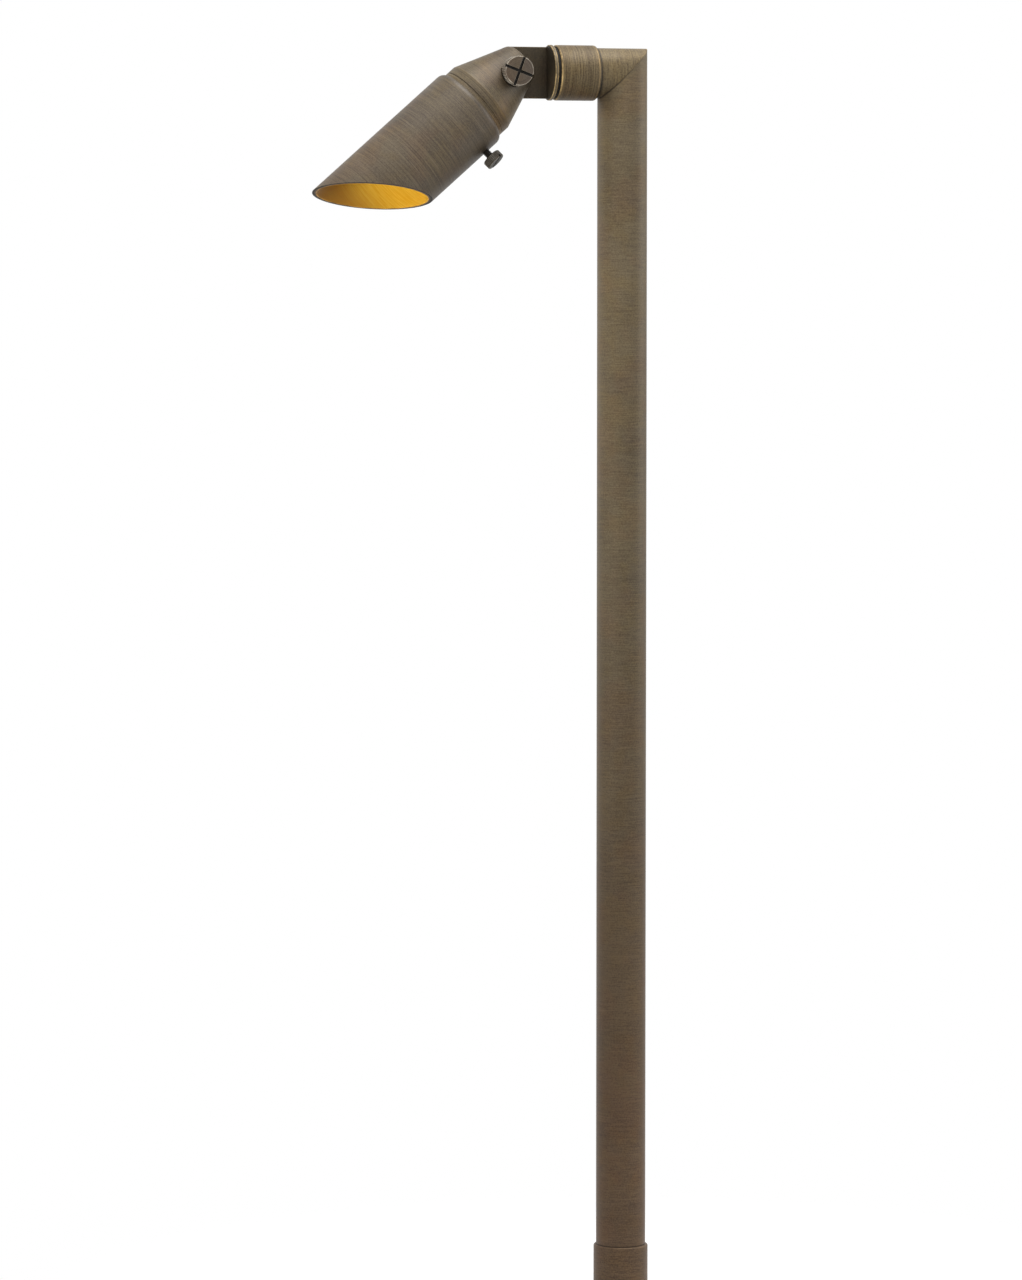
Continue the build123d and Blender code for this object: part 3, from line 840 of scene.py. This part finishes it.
mesh = bmesh.new()
rear_start = (shade_out, shade_rear + rear_taper)
rear_end = (shade_bore + rear_edge, shade_rear)
curve = bow(mesh, rear_start, rear_end, rear_bulge, rear_steps)
wall = outline(mesh, [
    (shade_bore, shade_rear), (shade_bore, lip_rear), (shade_bore - lip_height, lip_rear),
    (shade_bore - lip_height, lip_front), (shade_bore, lip_front), (shade_bore, long_end),
])
front = outline(mesh, [(shade_out, long_end)])
joins = [(front[0], curve[0]), (curve[rear_steps], wall[0])]
line = curve + wall + front + [mesh.edges.new(pair) for pair in joins]
sweep_round(mesh, line, shade_steps)
cut = saw(mesh, Vector((0, 0, cut_centre)), Vector((-cut_slope, 0, 1)))
for face in mesh.faces:
    is_inside = face.calc_center_median().xy.length < inside_reach
    face.material_index = inner_skin if is_inside else outer_skin
for face in cut:
    face.material_index = cut_skin
tidy(mesh)
rims = each_edge(face for face in mesh.faces if face.material_index == cut_skin)
rims = [edge for edge in rims if len({face.material_index for face in edge.link_faces}) > 1]
ease_edges(mesh, rims, rim_ease, segments=3)
print("shade turned in", shade_steps, "steps, with", len(rims), "rim edges eased")

# %% [markdown]
# ## Finish of the shade
# Outside, the shade is brushed like the head, and darker on its rear taper, with painted shade where
# it meets the head. The cut keeps a dark film outside and shows a gold line inside. The inside is gold
# lacquer over brushed metal. Towards the long tip it is painted browner, as painted shade.

# %% Shade finishes
shade_tone = (0.76, 0.755, 0.82)
taper_tone = (0.84, 0.82, 0.78)
cut_tone = (0.6, 0.56, 0.5)
gold_rim = paint(206, 152, 66)
gold_deep = paint(230, 172, 40)
gold_pale = paint(250, 208, 76)
gold_shaded = paint(138, 88, 34)
gold_spacing = 0.7 * MM
gold_stroke = 14 * MM
gold_cloud_scale = 40.0
tip_start = 98 * MM
tip_end = 133 * MM

shade_bronze = Bronze("shade_bronze", pivot, head_axis, shade_tone, grain=0.95, scratches=0.25)
shade_lathe = shade_bronze.lathe
rear_joint_shade = shade_lathe.near_edges([(shade_rear, shade_bore + rear_edge)], reach=0.8 * MM)
on_taper = 1 - shade_bronze.ease(shade_lathe.along, shade_rear + 1 * MM, shade_rear + rear_taper)
# painted shade: a dark band on the shade's rear edge, where it meets the head
shade_bronze.stain_and_shade(rear_joint_shade, share=0.15)
shade_bronze.tint(on_taper, taper_tone)

cut_bronze = Bronze("cut_bronze", pivot, head_axis, cut_tone, scratches=0.2)
from_bore = cut_bronze.lathe.out - shade_bore
cut_bronze.stain_and_shade(cut_bronze.ease(from_bore, 0.6 * MM, 1.4 * MM), share=0.9)
cut_bronze.wear(1 - cut_bronze.ease(from_bore, 0.2 * MM, 0.6 * MM), colour=gold_rim)


def gilding(name):
    """Gold lacquer over the brushed inside: lines round the axis, with painted shade browner towards the
    tip.
    """
    finish = Finish(name)
    lathe = Lathe(finish, pivot, head_axis)
    lines = lathe.lines(gold_spacing, gold_stroke, detail=3.0)
    cloud = finish.noise(finish.place(), gold_cloud_scale, detail=3.0)
    gold = finish.mix(finish.ease(lines * 0.6 + cloud * 0.4, 0.3, 0.7), gold_deep, gold_pale)
    # painted shade: the gold browns towards the long tip
    tip_shade = finish.ease(lathe.along, tip_start, tip_end)
    finish.feed(
        Base_Color=finish.mix(tip_shade * 0.85, gold, gold_shaded),
        Roughness=0.46 + lines * 0.14,
        Metallic=0.2,
        Specular_IOR_Level=0.15,
        Normal=finish.bump(lines, brush_depth, 0.4),
    )
    return finish.material


shade_finishes = [shade_bronze.done(gloss=0.6), gilding("gilt_inside"), cut_bronze.done(gloss=0.08)]
hand_over(mesh, "shade", "cowl_shade", shade_finishes, shade_stand, "cowl")

# %% [markdown]
# ## Knurled screws
# Both screws have a straight knurl, which shows against the light, so it is real geometry. A circle with
# two vertices to a tooth is extruded three times: out to the crests, along the side, and in again to the
# plain end, and every other vertex is drawn in for the grooves. Each extrusion leaves a face inside,
# which is taken out. The slots are milled: cut lines on both sides of a slot, take out what lies between,
# let the lips hang down to the floor and fill the floor.

# %% Knurl


def knurled_blank(mesh, knob):
    """A knob with straight teeth round its side, standing on the bench."""
    step = math.pi / knob.teeth
    groove = knob.out * step / 2
    end_out = knob.out - knob.bevel
    rounds = (
        (knob.bevel, knob.out, knob.out - groove),
        (knob.height - 2 * knob.bevel, knob.out, knob.out - groove),
        (knob.bevel, end_out, end_out),
    )
    disc = bmesh.ops.create_circle(mesh, cap_ends=True, segments=2 * knob.teeth, radius=end_out)
    top = disc["verts"][0].link_faces[0]
    tops = []
    for rise, crest, valley in rounds:
        grown = bmesh.ops.extrude_face_region(mesh, geom=[top])["geom"]
        top = next(item for item in grown if isinstance(item, bmesh.types.BMFace))
        tops.append(top)
        bmesh.ops.translate(mesh, vec=(0, 0, rise), verts=top.verts)
        for vert in top.verts:
            turn = round(math.atan2(vert.co.y, vert.co.x) / step)
            target = crest if turn % 2 == 0 else valley
            ratio = target / vert.co.xy.length
            bmesh.ops.scale(mesh, vec=(ratio, ratio, 1), verts=[vert])
    bmesh.ops.delete(mesh, geom=tops[:-1], context="FACES_ONLY")
    bmesh.ops.recalc_face_normals(mesh, faces=mesh.faces)
    print(knob.teeth, "teeth, grooves", round(groove / MM, 2), "mm deep")


# %% Slots
def mill_slots(mesh, knob):
    """Slots across the top of a knob, at its turns."""
    floor = knob.height - knob.depth
    above_floor = floor + merge_reach
    half = knob.slot / 2
    normals = [Vector((-math.sin(turn), math.cos(turn), 0)) for turn in knob.turns]
    for normal in normals:
        slice_through(mesh, -half * normal, normal)
        slice_through(mesh, half * normal, normal)
    slice_through(mesh, Vector((0, 0, floor)), up)
    waste = []
    for face in mesh.faces:
        centre = face.calc_center_median()
        in_slot = any(abs(centre.dot(normal)) < half - merge_reach for normal in normals)
        if in_slot and centre.z > above_floor:
            waste.append(face)
    bmesh.ops.delete(mesh, geom=waste, context="FACES")
    lips = []
    for edge in open_edges(mesh):
        first, second = (vert.co for vert in edge.verts)
        is_level = (first - second).xy.length > merge_reach
        if is_level and max(first.z, second.z) > above_floor:
            lips.append(edge)
    hung = bmesh.ops.extrude_edge_only(mesh, edges=lips)["geom"]
    hem = [item for item in hung if isinstance(item, bmesh.types.BMVert)]
    bmesh.ops.scale(mesh, vec=(1, 1, 0), space=Matrix.Translation((0, 0, -floor)), verts=hem)
    bmesh.ops.remove_doubles(mesh, verts=mesh.verts, dist=merge_reach)
    bmesh.ops.triangle_fill(mesh, edges=open_edges(mesh), use_beauty=True)
    bmesh.ops.recalc_face_normals(mesh, faces=mesh.faces)
    print(len(normals), "slots across, with", len(lips), "edges along their lips")


# %% [markdown]
# ## Finish of the knobs
# Fingers and a screwdriver rub a knob along its rim, on the crests of the knurl and on the lips of the
# slots, and leave the grooves and the slots dark. All these places are distances from the knob's axis or
# from the middle of a slot, so no mask has to be painted.

# %% Knob finish
pale_edge = paint(204, 195, 178)
rim_inset = 0.5 * MM


def knob_finish(name, knob, place, axis, over, tone, crests, rims):
    """Dark bronze that is rubbed along the knob's rim and the lips of its slots."""
    finish = Bronze(name, place, axis, tone, grain=0.8, scratches=0.2)
    lathe = finish.lathe
    top = knob.height
    floor = top - knob.depth
    on_crest = finish.ease(lathe.out, knob.out - 0.3 * MM, knob.out - 0.04 * MM)
    on_side = 1 - finish.ease(lathe.along, top - 0.7 * MM, top - 0.45 * MM)
    on_rim = lathe.near_edges([(top, knob.out - rim_inset)], reach=0.35 * MM)
    on_face = finish.ease(lathe.along, top - 0.25 * MM, top - 0.02 * MM)
    above_floor = finish.ease(lathe.along, floor - 0.2 * MM, floor - 0.05 * MM)
    nearest = None
    for turn in knob.turns:
        normal = axis.cross(over) * math.cos(turn) - over * math.sin(turn)
        from_middle = abs(finish.measure(place, normal))
        nearest = from_middle if nearest is None else nearest.least(from_middle)
    past_lip = nearest - knob.slot / 2
    on_lip = 1 - finish.ease(past_lip, 0, 0.2 * MM)
    in_slot = 1 - finish.ease(past_lip, 0.01 * MM, 0.05 * MM)
    finish.stain_and_shade(on_side * (1 - on_crest), share=0.9)
    finish.wear(on_side * on_crest, share=crests, colour=pale_edge)
    finish.wear(on_rim, share=rims, colour=pale_edge)
    finish.wear(on_lip * on_face, share=0.4 * rims, colour=pale_edge)
    finish.stain_and_shade(in_slot * above_floor * (1 - on_face), share=0.95)
    return finish.done()


# %% Pivot knob
knob = SimpleNamespace(
    out=9.525 * MM, height=8.5 * MM, teeth=56, bevel=0.5 * MM, slot=1.8 * MM, depth=2.2 * MM,
    turns=[math.radians(69.5), math.radians(159.5)],
)
knob_tone = (0.72, 0.72, 0.9)
knob_low, knob_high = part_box("pivot_screw")
knob_seat = pivot + knob_axis * (-knob_low.y - knob.height)
knob_stand = stand(knob_seat, knob_axis, up)
shank_out = 3 * MM
shank_end = knob_high.y - knob_seat.y
shank_sink = 1 * MM
knurl_crease = 25


def rod(mesh, out, start, end, segments=48, aside=0.0):
    """A plain round rod along the z axis, closed at both ends."""
    bmesh.ops.create_cone(
        mesh, cap_ends=True, segments=segments, radius1=out, radius2=out, depth=end - start,
        matrix=Matrix.Translation((aside, 0, (start + end) / 2)),
    )


mesh = bmesh.new()
knurled_blank(mesh, knob)
mill_slots(mesh, knob)
rod(mesh, shank_out, -shank_end, shank_sink)
knob_bronze = knob_finish("knob_bronze", knob, knob_seat, knob_axis, up, knob_tone, crests=0.6, rims=1.0)
hand_over(
    mesh, "pivot_knob_screw", "pivot_knob", [knob_bronze], knob_stand, "pivot_screw",
    crease=knurl_crease,
)

# %% Thumbscrew
thumb = SimpleNamespace(
    out=6.25 * MM, height=4.9 * MM, teeth=36, bevel=0.4 * MM, slot=1.5 * MM, depth=1.6 * MM,
    turns=[math.radians(53)],
)
# darker all over: partly the screw's own darker colour, partly painted shade from the shade above it
thumb_tone_and_shade = (0.24, 0.24, 0.24)
screw_length = (screw_seat - pivot).dot(screw_axis) - shade_bore
screw_crest = 2.4 * MM
screw_root = 1.95 * MM
screw_pitch = 0.8 * MM
screw_start = -screw_length + screw_pitch / 2
screw_turns = int(screw_length / screw_pitch) - 1
screw_stand = stand(screw_seat, screw_axis, head_axis)
mesh = bmesh.new()
knurled_blank(mesh, thumb)
mill_slots(mesh, thumb)
rod(mesh, screw_root, -screw_length, shank_sink)
cut_thread(mesh, screw_root - thread_sink, screw_crest, screw_pitch, screw_start, screw_turns)
tidy(mesh)
screw_bronze = knob_finish(
    "screw_bronze", thumb, screw_seat, screw_axis, head_axis, thumb_tone_and_shade, crests=0.1, rims=0.6
)
hand_over(
    mesh, "thumbscrew", "cowl_screw", [screw_bronze], screw_stand, "cowl_thumbscrew",
    crease=knurl_crease,
)

# %% [markdown]
# ## Seals and leads
# Rubber hardly shines: a dark base, a high roughness and a fine grain. The seal rings come into view when
# the shade slides forward, so they are turned as true round sections: a small circle, spun about the
# head's axis. The leads are satin plastic, and the ring behind the lens is red silicone.

# %% Rubber, silicone and insulation


def soft_finish(name, dark, light, roughness, grain):
    """A matt skin with a fine grain."""
    finish = Finish(name)
    speck = finish.noise(finish.place(), grain, detail=4.0, roughness=0.6)
    cloud = finish.noise(finish.place(), grain / 12, detail=2.0)
    finish.feed(
        Base_Color=finish.mix(finish.ease(speck * 0.5 + cloud * 0.5, 0.3, 0.7), dark, light),
        Roughness=roughness + (speck - 0.5) * 0.2,
        Specular_IOR_Level=0.25,
        Normal=finish.bump(speck, 0.03 * MM, 0.5),
    )
    return finish.material


rubber = soft_finish("seal_rubber", paint(14, 12, 10), paint(28, 25, 21), 0.75, 1400)
insulation = soft_finish("lead_insulation", paint(26, 26, 28), paint(44, 44, 46), 0.5, 900)
silicone = soft_finish("lens_silicone", paint(150, 58, 44), paint(182, 82, 62), 0.6, 700)
for node in ("swivel_gasket", "knuckle_seal", "lead_bushing"):
    dress(node, rubber)
for node in ("post_leads", "knuckle_leads", "head_leads"):
    dress(node, insulation)
dress("lens_gasket", silicone)

# %% Seal rings
ring_half = 0.9 * MM
ring_gap = 0.02 * MM
ring_middle = shade_bore - ring_gap - ring_half
ring_places = (55.5 * MM, 60.5 * MM)
ring_corners = 16


def ring(mesh, radius, out, along, segments):
    """A small upright circle, as the section of a seal ring or a wire. Returns vertices and edges."""
    upright = Matrix.Translation((out, 0, along)) @ Matrix.Rotation(math.pi / 2, 4, "X")
    verts = bmesh.ops.create_circle(mesh, segments=segments, radius=radius, matrix=upright)["verts"]
    return verts + list(dict.fromkeys(edge for vert in verts for edge in vert.link_edges))


mesh = bmesh.new()
for ring_place in ring_places:
    sweep_round(mesh, ring(mesh, ring_half, ring_middle, ring_place, ring_corners))
hand_over(mesh, "seal_rings", "head", [rubber], head_stand, "body_o_rings", crease=60)

# %% [markdown]
# ## Glass, mirror, ceramic and steel
# Glass could be a half clear colour, but it would look like film and bend no light. So the shader lets
# light through, and only its roughness varies, with faint smears. The mirror is aluminium under a thin
# coat that turns slightly blue and amber. Ceramic is pale and speckled, and the plated steel is brushed.

# %% Lamp finishes


def clear_glass(name, tint):
    """Glass with faint smears."""
    finish = Finish(name, Base_Color=tint, Transmission_Weight=1.0, IOR=1.5)
    smear = finish.noise(finish.place(), 120.0, detail=3.0)
    finish.feed(Roughness=finish.ease(smear, 0.5, 0.9) * 0.08)
    return finish.material


def mirror_coat(name):
    """Bright aluminium that drifts from blue to amber."""
    finish = Finish(name, Metallic=1.0)
    drift = finish.noise(finish.place(), 70.0, detail=2.0)
    to_amber = finish.ease(drift, 0.35, 0.65)
    finish.feed(
        Base_Color=finish.mix(to_amber, paint(214, 216, 226), paint(236, 226, 208)),
        Roughness=0.06 + drift * 0.08,
    )
    return finish.material


def plated_steel(name):
    """Steel that is brushed round the head's axis."""
    finish = Finish(name, Metallic=1.0)
    lines = Lathe(finish, pivot, head_axis).lines(0.4 * MM, 6 * MM)
    finish.feed(
        Base_Color=finish.mix(lines, paint(170, 170, 168), paint(206, 205, 200)),
        Roughness=0.28 + lines * 0.16,
        Normal=finish.bump(lines, 0.02 * MM, 0.4),
    )
    return finish.material


lens_glass = clear_glass("lens_glass", paint(246, 250, 248))
lamp_glass = clear_glass("lamp_glass", paint(248, 250, 250))
mirror = mirror_coat("mirror_coat")
steel = plated_steel("plated_steel")
ceramic = soft_finish("lamp_ceramic", paint(206, 200, 186), paint(232, 228, 216), 0.65, 500)
for node in ("socket_bracket", "socket_screws", "lamp_pins"):
    dress(node, steel)
for node in ("lamp_socket", "lamp_base"):
    dress(node, ceramic)
dress("lamp_front_glass", lamp_glass)

# %% [markdown]
# ## Lamp
# Behind the lens sits a reflector lamp. Its mirror is pressed in flat facets, so the bowl is turned in
# few steps and left unsmoothed: real facets glint one by one, which a bump can't do. The capsule in the
# middle is hollow clear glass, so its inner skin faces inwards, round a coiled filament.

# %% Reflector
lamp_out = 24.75 * MM
lamp_front = 74.0 * MM
rim_rear = 70.0 * MM
bowl_rear = 46.0 * MM
bowl_neck = 10.5 * MM
bowl_mouth = 23.3 * MM
bowl_bulge = 2.2 * MM
bowl_wall = 1.4 * MM
glass_seat = 72.2 * MM
facets_round = 40
facets_along = 8
mesh = bmesh.new()
inner_mouth = (bowl_mouth - bowl_wall, rim_rear)
inner_neck = (bowl_neck - bowl_wall, bowl_rear)
inner = bow(mesh, inner_mouth, inner_neck, bowl_bulge, facets_along)
outer = bow(mesh, (bowl_mouth, rim_rear), (bowl_neck, bowl_rear), bowl_bulge, facets_along)
rim = outline(mesh, [
    (lamp_out, rim_rear), (lamp_out, lamp_front), (lamp_out - bowl_wall, lamp_front),
    (lamp_out - bowl_wall, glass_seat), (bowl_mouth - bowl_wall, glass_seat),
])
joins = [(inner[0], rim[4]), (outer[0], rim[0]), (inner[facets_along], outer[facets_along])]
sweep_round(mesh, inner + outer + rim + [mesh.edges.new(pair) for pair in joins], facets_round)
hand_over(
    mesh, "faceted_reflector", "head", [mirror], head_stand, "lamp_reflector", crease=0
)

# %% Capsule
capsule_out = 4.5 * MM
capsule_length = 15 * MM
capsule_tip = bowl_rear + capsule_length
capsule_wall = 0.7 * MM
capsule_floor = 3 * MM
capsule_steps = 48
shoulder = capsule_tip - capsule_out
root_height = 1.2 * MM
root_share = 0.7
dome_steps = 12
dome_share = 1 - math.sqrt(0.5)
mesh = bmesh.new()
skins = []
for wall, base in ((0, bowl_rear), (capsule_wall, bowl_rear + capsule_floor)):
    out = capsule_out - wall
    dome = bow(mesh, (0, shoulder + out), (out, shoulder), out * dome_share, dome_steps)
    root = outline(mesh, [(out, base + root_height), (root_share * out, base), (0, base)])
    before = set(mesh.faces)
    sweep_round(mesh, dome + root + [mesh.edges.new((dome[dome_steps], root[0]))], capsule_steps)
    skins.append([face for face in mesh.faces if face not in before])
bmesh.ops.reverse_faces(mesh, faces=skins[1])
hand_over(mesh, "capsule", "head", [lamp_glass], head_stand, "lamp_capsule", crease=60)

# %% Filament
coil_out = 0.6 * MM
coil_pitch = 0.34 * MM
coil_turns = 13
coil_steps = 16
coil_low = 51.5 * MM
coil_high = coil_low + coil_turns * coil_pitch
wire_out = 0.1 * MM
wire_corners = 6
leg_corners = 8
leg_out = 1.6 * wire_out
leg_aside = coil_out + 1.5 * wire_out
mesh = bmesh.new()
wire = ring(mesh, wire_out, coil_out, coil_low, wire_corners)
climb_round(mesh, wire, coil_pitch, coil_turns, coil_steps)
rod(mesh, leg_out, bowl_rear, coil_low, leg_corners, leg_aside)
rod(mesh, leg_out, bowl_rear, coil_high, leg_corners, -leg_aside)
bmesh.ops.recalc_face_normals(mesh, faces=mesh.faces)
hand_over(mesh, "filament", "head", [steel], head_stand)

# %% [markdown]
# ## Lens
# A flat disc of toughened glass that seals the shade. Its rims are ground. Sharp rims would catch no
# light, so a plain cylinder is made and both rims are eased with bevel.

# %% Lens
lens_play = 0.25 * MM
lens_thickness = 3 * MM
lens_ease = 0.4 * MM
lens_out = shade_bore - lens_play
lens_rear = lens_front - lens_thickness
mesh = bmesh.new()
rod(mesh, lens_out, lens_rear, lens_front, turn_steps)
lens_rims = hoops(mesh, (lens_out, lens_rear), (lens_out, lens_front))
ease_edges(mesh, lens_rims, lens_ease, segments=2)
hand_over(mesh, "lens_disc", "lens_pack", [lens_glass], shade_stand, "lens")

# %% [markdown]
# ## Studio
# The world is a plain white room. Light Path tells who looks: the camera, mirrors and glass see pure
# white, while the light that falls on the object is softer and fades towards the ground, so that colours
# come out as they are written. Three soft lamps shape it: a large one overhead, one from the right and a
# weak one that reaches into the shade. A pale round floor fades out before its edge shows.

# %% World
scene.view_settings.view_transform = "Standard"
room = bpy.data.worlds.new("white_room")
scene.world = room
room_below = 0.10
room_above = 0.62
white = (1, 1, 1, 1)
sheet = NodeSheet(room)


def seen_directly(sheet):
    """1 for the camera, for reflections and through glass, and 0 for scattered light."""
    rays = ("Is Camera Ray", "Is Glossy Ray", "Is Transmission Ray")
    camera_ray, glossy_ray, glass_ray = [sheet.node("ShaderNodeLightPath", output=ray) for ray in rays]
    return camera_ray.most(glossy_ray).most(glass_ray)


direction = sheet.node("ShaderNodeTexCoord", output="Generated")
height = sheet.node("ShaderNodeSeparateXYZ", None, {0: direction}, output="Z")
scattered = room_below + sheet.ease(height, -0.5, 0.6) * (room_above - room_below)
strength = seen_directly(sheet).most(scattered)
glow = sheet.node("ShaderNodeBackground", None, {"Color": white, "Strength": strength})
sheet.node("ShaderNodeOutputWorld", None, {"Surface": glow})
print("room lights with", room_below, "below and", room_above, "above")

# %% Lamps


def softbox(name, place, target, size, watts, spread=180, mirrored=True):
    """A square soft lamp, aimed at a target and hidden from the camera."""
    data = bpy.data.lights.new(name, "AREA")
    data.shape = "SQUARE"
    data.size = size
    data.energy = watts
    data.spread = math.radians(spread)
    lamp = bpy.data.objects.new(name, data)
    lamp.location = place
    lamp.rotation_euler = (Vector(target) - Vector(place)).to_track_quat("-Z", "Y").to_euler()
    lamp.visible_camera = False
    lamp.visible_glossy = mirrored
    scene.collection.objects.link(lamp)
    print(name, watts, "W")


softbox("overhead_softbox", (0.15, -0.30, 2.20), (-0.08, 0, 0.78), size=1.2, watts=29)
softbox("side_softbox", (1.3, -0.35, 0.95), (0, 0, 0.7), size=0.8, watts=6)
softbox(
    "mouth_fill", (-0.90, -0.35, 0.42), (-0.14, 0, 0.73), size=0.4, watts=1.5, spread=60, mirrored=False
)

# %% Floor
floor_out = 0.42
floor_fade = 0.12
floor_clear = 0.41
floor_corners = 96
floor_drop = Matrix.Translation((0, 0, -0.3 * MM))
paper_dark = (0.48, 0.48, 0.48, 1)
paper_light = (0.52, 0.52, 0.52, 1)
paper_glow = (0.55, 0.55, 0.55, 1)
black = (0, 0, 0, 1)
mesh = bmesh.new()
bmesh.ops.create_circle(mesh, cap_ends=True, segments=floor_corners, radius=floor_out, matrix=floor_drop)
data = bpy.data.meshes.new("floor")
mesh.to_mesh(data)
mesh.free()
floor = bpy.data.objects.new("floor", data)
scene.collection.objects.link(floor)
floor_paper = Finish("floor_paper", Roughness=0.9, Emission_Strength=1.0)
reach = floor_paper.vector("LENGTH", floor_paper.place(), (0, 0, 0), "Value")
mottle = floor_paper.noise(floor_paper.place(), 90.0, detail=3.0)
floor_paper.feed(
    Base_Color=floor_paper.mix(mottle, paper_dark, paper_light),
    Emission_Color=floor_paper.mix(seen_directly(floor_paper), black, paper_glow),
    Alpha=1 - floor_paper.ease(reach, floor_fade, floor_clear),
)
data.materials.append(floor_paper.material)
print("floor fades from", floor_fade, "to", floor_clear, "m")
